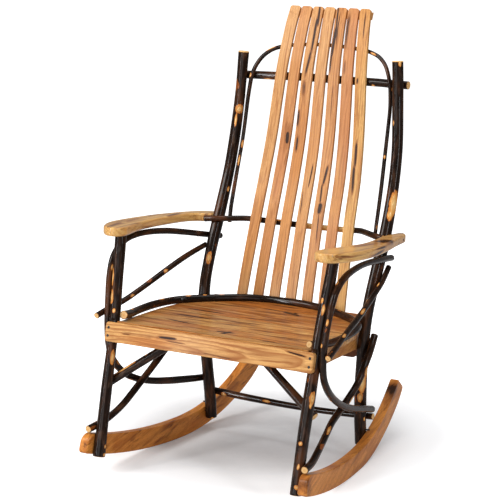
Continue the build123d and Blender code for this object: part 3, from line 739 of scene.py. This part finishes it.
def poles():
    """Every pole: path, diameter, trim, thickness at start and end, seed of its bark."""
    for side, sign, odd in (("r", 1, 100), ("l", -1, 200)):
        turn = (lambda p: p) if sign > 0 else flip
        pole(f"front_leg_{side}", turn(LEG), LEG_D, leg_trim, (1.04, 0.99), odd + 1)
        pole(f"rear_post_{side}", turn(POST), POST_D, beside_rocker(POST_FLAT), (1.07, 1.0),
             odd + 2, CROWN)
        pole(f"side_hoop_{side}", side_points(SIDE_HOOP[side], sign), HOOP_D, None, (0.88, 1.08),
             odd + 3)
        pole(f"upper_brace_{side}", side_points(UPPER_BRACE[side], sign), UPPER_D, None,
             (1.02, 0.96), odd + 4)
        pole(f"lower_brace_{side}", side_points(LOWER_BRACE[side], sign), LOWER_D, None,
             (0.98, 1.02), odd + 5)
        pole(f"front_brace_{side}", turn(FRONT_BRACE), BRACE_D, None, (1.02, 0.98), odd + 6)
    pole("rear_stretcher", STRETCHER, STRETCHER_D, None, (1.02, 0.98), 31)
    pole("top_back_rail", TOP_RAIL, TOP_RAIL_D, None, (1.0, 0.97), 32)
    pole("lumbar_rail", LUMBAR, LUMBAR_D, None, (1.02, 0.98), 33)
    pole("back_arch", ARCH_SIDE + ARCH_TOP + flip(reversed(ARCH_SIDE)), ARCH_D, None, (1.0, 1.0),
         34)
    sagged = [(x, y, z - HOOP_SAG * (0 < i < len(SEAT_HOOP) - 1))
              for i, (x, y, z) in enumerate(SEAT_HOOP)]
    pole("seat_hoop", sagged, SEAT_HOOP_D, None, (1.18, 0.98), 35)


# ---- boards -------------------------------------------------------------------------------------
SAP, HONEY, TAN = (0.66, 0.345, 0.120), (0.59, 0.270, 0.078), (0.48, 0.185, 0.046)
# The dark red is painted shade for the rear seat rail under the seat.
PALE, LATE, RAIL_RED_PAINTED_SHADE = (0.70, 0.41, 0.140), (0.30, 0.095, 0.022), (0.24, 0.075, 0.020)
ORANGE, UMBER, RUST = (0.58, 0.240, 0.062), (0.38, 0.124, 0.022), (0.50, 0.165, 0.026)
STRAW, BLOND, FAWN = (0.66, 0.355, 0.138), (0.61, 0.290, 0.100), (0.50, 0.205, 0.060)
ROSE, AMBER = (0.56, 0.235, 0.086), (0.60, 0.30, 0.090)
BEVEL, APRON_BEVEL, ARM_BEVEL, SCREW_BEVEL = 1.2, 1.6, 0.6, 0.3        # millimetres
BEVEL_ANGLE = 38                                                       # degrees


def finish_board(name, material, bevel=BEVEL):
    """Put a material and softly rounded edges on a CAD board."""
    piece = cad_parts[name]
    piece.data.materials.clear()
    piece.data.materials.append(material)
    edges = piece.modifiers.new("eased_edges", "BEVEL")
    edges.width, edges.segments = bevel * MM, 2
    edges.limit_method, edges.angle_limit = "ANGLE", math.radians(BEVEL_ANGLE)
    edges.harden_normals = True
    piece.data.polygons.foreach_set("use_smooth", [True] * len(piece.data.polygons))


# Strokes on each board: first and last photo pixel, half width in mm, strength.
BACK_MARKS = {
    1: [((270, 66), (268, 72), 3.0, 0.5)],
    2: [((288, 131), (287, 144), 4.0, 0.95), ((289, 122), (285, 154), 9.0, 0.34),
        ((287, 152), (284, 166), 1.2, 0.5)],
    3: [((320.5, 5), (317.5, 26), 1.8, 1.1), ((317.5, 18), (311, 54), 2.0, 1.2),
        ((312, 48), (305, 76), 2.4, 0.75), ((299, 110), (297.5, 126), 1.6, 0.9),
        ((298, 136), (296, 152), 2.0, 0.85), ((305, 80), (303, 96), 3.5, 0.45)],
    4: [((313, 164), (308, 188), 1.3, 0.8), ((303, 190), (300, 215), 1.1, 0.6)],
    5: [((338.5, 5), (336, 40), 1.5, 1.1), ((336.5, 26), (331, 60), 2.4, 1.2),
        ((340, 14), (336, 48), 1.0, 0.8), ((332.5, 50), (329.5, 74), 1.8, 0.85),
        ((328, 166), (323, 186), 2.2, 0.9), ((322.5, 184), (320, 204), 1.6, 0.9),
        ((333, 84), (330, 120), 1.0, 0.5),
        ((321, 203), (318.5, 214), 3.6, 1.1), ((319, 212), (316, 242), 1.4, 0.7)],
    6: [((350, 14), (345, 50), 3.6, 0.60), ((345, 60), (344, 74), 2.0, 0.45)],
    7: [((366, 11), (363, 40), 1.2, 0.8), ((356.5, 142), (354.5, 168), 2.4, 0.95),
        ((354, 164), (352, 196), 2.8, 0.85), ((358, 78), (357, 84), 2.0, 0.6)],
}
SEAT_MARKS = {
    1: [((236, 333), (252, 336), 2.0, 0.7), ((262, 341), (276, 342.5), 3.0, 1.0)],
    2: [((216, 331), (234, 333.5), 3.5, 1.1), ((221, 334), (231, 332), 4.5, 0.9),
        ((140, 322), (200, 331), 2.2, 0.65), ((286, 339), (300, 341), 2.5, 0.7)],
    3: [((168, 319), (200, 326), 3.0, 0.9), ((196, 326), (246, 332), 2.0, 0.7),
        ((248, 329), (276, 333), 2.0, 0.7)],
    4: [((176, 314), (212, 319), 3.0, 0.9), ((228, 321), (262, 325), 2.0, 0.7)],
    5: [((186, 308), (226, 314), 2.6, 0.8), ((240, 317), (288, 323), 2.2, 0.75)],
    6: [((284, 312), (300, 316), 4.0, 1.15), ((292, 315), (302, 310), 3.0, 1.0),
        ((212, 303), (258, 309), 2.0, 0.65), ((262, 308), (284, 312), 2.0, 0.75)],
    7: [((232, 300), (262, 304), 2.0, 0.6), ((268, 304), (300, 309), 2.2, 0.7)],
}
APRON_MARKS = [((180, 347), (262, 366), 7.0, 0.24), ((232, 350), (306, 366), 9.0, 0.20),
               ((158, 337.0), (176, 339.4), 2.0, 1.1), ((166, 341), (186, 344.5), 1.2, 0.5),
               ((286, 351), (306, 357), 1.6, 0.8), ((122, 334), (130, 335), 1.5, 0.5),
               ((196, 352), (236, 360), 1.8, 0.55), ((240, 362), (290, 371), 1.6, 0.5)]
ARM_MARKS = {"r": [((378, 242.5), (393, 240), 15, 0.70), ((352, 247), (378, 243), 8, 0.40)],
             "l": [((108, 227), (122, 222), 6, 0.45), ((124, 222), (140, 218), 6, 0.40),
                   ((143, 216), (160, 214), 5, 0.45), ((166, 216), (180, 213), 5, 0.50)]}
EDGE_MARKS = {"r": [((362, 258.5), (384, 250.5), 2.6, 1.0), ((336, 257), (352, 256), 2.0, 0.5),
                    ((372, 249.5), (390, 246.5), 2.0, 0.7)],
              "l": [((161, 221), (166, 219.5), 3.4, 1.0), ((172, 217.5), (180, 216), 2.4, 0.7),
                    ((112, 229), (126, 231), 2.0, 0.45), ((137, 227), (141, 226), 2.2, 0.6)]}
ROCKER_MARKS = {"r": [((387, 393), (397, 380), 18, 1.3), ((307, 472), (309, 498), 10, 0.40),
                      ((371, 432), (372, 436), 3.0, 0.7), ((372, 418), (384, 400), 3.0, 0.5)],
                "l": []}


def boards():
    """Dress each CAD board and the screws."""
    slats = [(STRAW, BLOND, 0.1, 0.45), (BLOND, ROSE, 0.3, 0.75), (STRAW, FAWN, 0.6, 0.35),
             (STRAW, BLOND, 0.2, 0.55), (BLOND, FAWN, 0.6, 0.45), (BLOND, ROSE, 0.4, 0.60),
             (PALE, BLOND, 0.4, 0.40)]
    for i, (light, deep, streaks, share) in enumerate(slats, 1):
        finish_board(f"back_slat_{i}", wood_material(
            f"back_slat_{i}", light, deep, (0.34, 0.120, 0.034), "Z", 40 + i,
            turn=(0.265, 0.012 * (i - 4), 0), figure=0.35, share=share,
            flush=ROSE if i in (2, 6) else ORANGE, streaks=streaks,
            marks=drawn(BACK_MARKS[i], on_back, BACK_FACE)))
    seat = [(PALE, ORANGE, 0.5), (SAP, UMBER, 0.5), (PALE, UMBER, 0.5), (PALE, ORANGE, 0.4),
            (SAP, UMBER, 0.9), (HONEY, UMBER, 0.7), (RUST, UMBER, 0.6)]
    for i, (light, deep, share) in enumerate(seat, 1):
        finish_board(f"seat_slat_{i}", wood_material(
            f"seat_slat_{i}", light, deep, LATE, "X", 60 + i,
            turn=(0, 0.06, 0.06 * (i % 3 - 1)), figure=0.8, share=share,
            flush=(0.56, 0.190, 0.034), streaks=1.8,
            marks=drawn(SEAT_MARKS[i], on_seat, SEAT_FACE), gloss=0.20, pitch=7.0,
            fine=110, patch=48))
    finish_board("seat_front_board", wood_material(
        "seat_front_board", (0.69, 0.385, 0.135), ORANGE, LATE, "X", 71,
        turn=(0, 0.06, 0.05), figure=0.8, share=0.40,
        marks=drawn(APRON_MARKS, on_apron, APRON_FACE), pitch=9.0,
        heart=(0, 0.026, 0.010), fine=110), APRON_BEVEL)
    finish_board("top_batten", wood_material("top_batten", SAP, HONEY, LATE, "X", 72))
    for side, sign in (("r", 1), ("l", -1)):
        finish_board(f"side_seat_rail_{side}", wood_material(
            f"side_seat_rail_{side}", HONEY, TAN, LATE, "Y", 73 + sign,
            turn=(0.05, 0, 0), figure=0.4))
        finish_board(f"armrest_{side}", wood_material(
            f"armrest_{side}", (0.74, 0.455, 0.155), (0.62, 0.31, 0.090), (0.50, 0.215, 0.055),
            "Y", 80 + sign, turn=(0.11, 0, 0.10 * sign), figure=0.55, share=0.45, flush=AMBER,
            streaks=1.2, marks=drawn(ARM_MARKS[side], on_arm, ARM_FACE, SHALLOW)
            + drawn(EDGE_MARKS[side], on_edge(side), EDGE_FACE, SHALLOW),
            gloss=0.5, pitch=8.0), ARM_BEVEL)
        finish_board(f"rocker_{side}", wood_material(
            f"rocker_{side}", (0.72, 0.285, 0.058), (0.50, 0.155, 0.026), (0.33, 0.090, 0.014),
            "Y", 90 + sign, turn=(-0.26, 0, 0.03 * sign), figure=0.30, share=0.55,
            flush=(0.66, 0.24, 0.042), streaks=0.8 if side == "r" else 1.3,
            marks=drawn(ROCKER_MARKS[side], on_rocker, ROCKER_FACE), gloss=0.12, pitch=16.0,
            heart=(0.020, 0, 0.05), fine=50, patch=40))
    # Dark red-brown tones on the rear seat rail are painted shade, for the shadow under the seat
    # where it sits.
    finish_board("rear_seat_rail", wood_material(
        "rear_seat_rail", RAIL_RED_PAINTED_SHADE, (0.15, 0.05, 0.018), (0.08, 0.025, 0.01), "X", 75, flush=RAIL_RED_PAINTED_SHADE))
    steel = screw_material()
    for group in ("apron_screws", "rocker_screws", "arm_screws"):
        finish_board(group, steel, SCREW_BEVEL)


# ---- stage --------------------------------------------------------------------------------------
FLOOR_SIZE, FLOOR_Z = 60, -0.0005                # metres
SHADOW_PIXEL = (270, 430)                        # middle of the shadow painted on the floor round the chair
SHADOW_CENTRE = seen(SHADOW_PIXEL, (0, 0, 0), (0, 0, 1))
SHADOW_REACH = 2.0                               # metres to where the painted shadow has faded and the floor is long pure white
WORLD_LIGHT, WORLD_SEEN = 0.25, 1.0
AIM = Vector((0, 0, 0.5))
# Name, place, size, watts, colour.
LAMPS = (("key", (-2.2, -2.6, 3.0), (1.6, 1.6), 100, (1.0, 0.985, 0.96)),
         ("strip", (-1.9, -3.4, 1.2), (0.14, 2.2), 40, (0.94, 0.96, 1.0)),
         ("fill", (3.2, -1.6, 2.2), (0.4, 2.0), 42, (0.96, 0.98, 1.0)),
         ("front", (0.6, -3.6, 0.9), (2.4, 1.2), 22, (1.0, 1.0, 1.0)),
         ("top", (0.2, 0.4, 3.6), (2.4, 2.4), 62, (1.0, 1.0, 1.0)))


def stage():
    """Pale floor with a painted shadow round the chair, soft lights and the camera."""
    bpy.ops.mesh.primitive_plane_add(size=FLOOR_SIZE, location=(0, 0, FLOOR_Z))
    floor = bpy.context.object
    floor.name = "floor"
    t = Tree("floor_paper")
    paper = t.noise(t.object_coordinates(), 40, 2)
    paper = t.ramp(paper, [(0.3, (0.71, 0.715, 0.73)), (0.7, (0.735, 0.74, 0.755))])
    t.put(t.shader.inputs["Base Color"], paper)
    t.shader.inputs["Roughness"].default_value = 0.9
    t.shader.inputs["Specular IOR Level"].default_value = 0.1
    rays = t.nodes.new("ShaderNodeLightPath")
    glow = t.nodes.new("ShaderNodeEmission")
    # Camera rays see the floor glow weakly near the chair and fully far off: a painted shadow
    # round the chair, pure white floor beyond.
    away = t.vector("LENGTH", t.vector("SUBTRACT", t.object_coordinates(), tuple(SHADOW_CENTRE)))
    glow_round_painted_shadow = t.ramp(t.math("DIVIDE", away, SHADOW_REACH), [(0.06, 0.06), (0.14, 0.12), (0.22, 0.40),
                                                          (0.30, 0.80), (0.40, 1.0)], True)
    t.put(glow.inputs["Strength"], t.math("MULTIPLY", rays.outputs["Is Camera Ray"], glow_round_painted_shadow))
    both = t.nodes.new("ShaderNodeAddShader")
    t.links.new(t.shader.outputs[0], both.inputs[0])
    t.links.new(glow.outputs[0], both.inputs[1])
    t.links.new(both.outputs[0], t.out.inputs[0])
    floor.data.materials.append(t.material)

    scene = bpy.context.scene
    scene.view_settings.view_transform = "Standard"
    world = bpy.data.worlds.new("studio")
    scene.world = world
    world.use_nodes = True
    nodes, links = world.node_tree.nodes, world.node_tree.links
    back = nodes["Background"]
    rays = nodes.new("ShaderNodeLightPath")
    level = nodes.new("ShaderNodeMapRange")
    level.inputs["To Min"].default_value = WORLD_LIGHT
    level.inputs["To Max"].default_value = WORLD_SEEN
    links.new(rays.outputs["Is Camera Ray"], level.inputs["Value"])
    links.new(level.outputs[0], back.inputs["Strength"])
    back.inputs["Color"].default_value = (1, 1, 1, 1)

    for name, place, size, power, colour in LAMPS:
        data = bpy.data.lights.new(name, "AREA")
        data.shape, data.size, data.size_y = "RECTANGLE", size[0], size[1]
        data.energy, data.color = power, colour
        lamp = bpy.data.objects.new(name, data)
        lamp.location = place
        lamp.rotation_euler = (AIM - Vector(place)).to_track_quat("-Z", "Y").to_euler()
        scene.collection.objects.link(lamp)

    data = bpy.data.cameras.new("photo_view")
    data.sensor_width = SENSOR
    data.lens = FOCAL_PX / PHOTO_SIZE * SENSOR
    camera = bpy.data.objects.new("photo_view", data)
    camera.location = EYE
    camera.rotation_euler = (TARGET - EYE).to_track_quat("-Z", "Y").to_euler()
    scene.collection.objects.link(camera)
    scene.camera = camera


poles()
boards()
stage()
